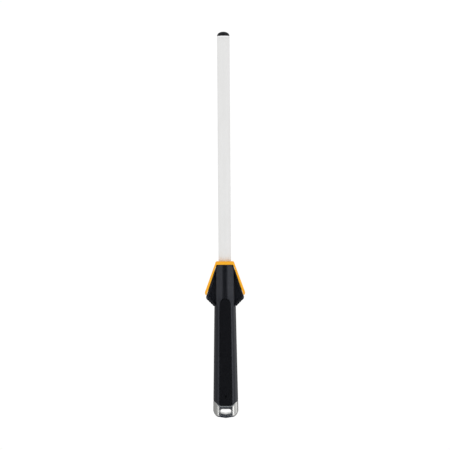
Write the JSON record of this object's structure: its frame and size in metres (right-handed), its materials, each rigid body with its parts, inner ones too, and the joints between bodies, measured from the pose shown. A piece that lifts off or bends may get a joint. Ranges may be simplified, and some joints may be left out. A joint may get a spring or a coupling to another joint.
{
  "type": "ceramic knife sharpening rod",
  "caption": "Hand-held honing rod: long round ceramic rod with a domed tip, a wedge-shaped blade angle guide, a faceted black grip and a metal end cap with a hanging hole.",
  "frame": {"origin": "centre of the grip, on the rod's axis, where a hand holds it", "axes": "+Z along the rod towards its tip, front of the handle faces -Y, +X to the right seen from the front"},
  "size_m": [0.0452, 0.026, 0.4349],
  "materials": {
    "alumina": "fine matt, as fired and ground",
    "tip_rubber": "satin",
    "guide_plastic": "satin moulded",
    "shell_plastic": "satin moulded, fine grain",
    "grip_rubber": "soft-touch matt",
    "pad_rubber": "ribbed, matt",
    "cap_metal": "satin brushed",
    "plain_steel": "zinc plated",
    "collar_plastic": "moulded",
    "bush_rubber": "matt"
  },
  "bodies": {
    "root": {"ceramic_rod": "alumina", "tip_cap": "tip_rubber", "angle_guide": "guide_plastic", "handle_front": "shell_plastic", "handle_rear": "shell_plastic", "grip_front": "grip_rubber", "grip_rear": "grip_rubber", "finger_pad_left": "pad_rubber", "finger_pad_right": "pad_rubber", "end_cap": "cap_metal", "cap_pin": "plain_steel", "rod_collar": "collar_plastic", "shock_bush": "bush_rubber", "end_pad": "bush_rubber", "shell_screws": "plain_steel"}
  },
  "joints": []
}
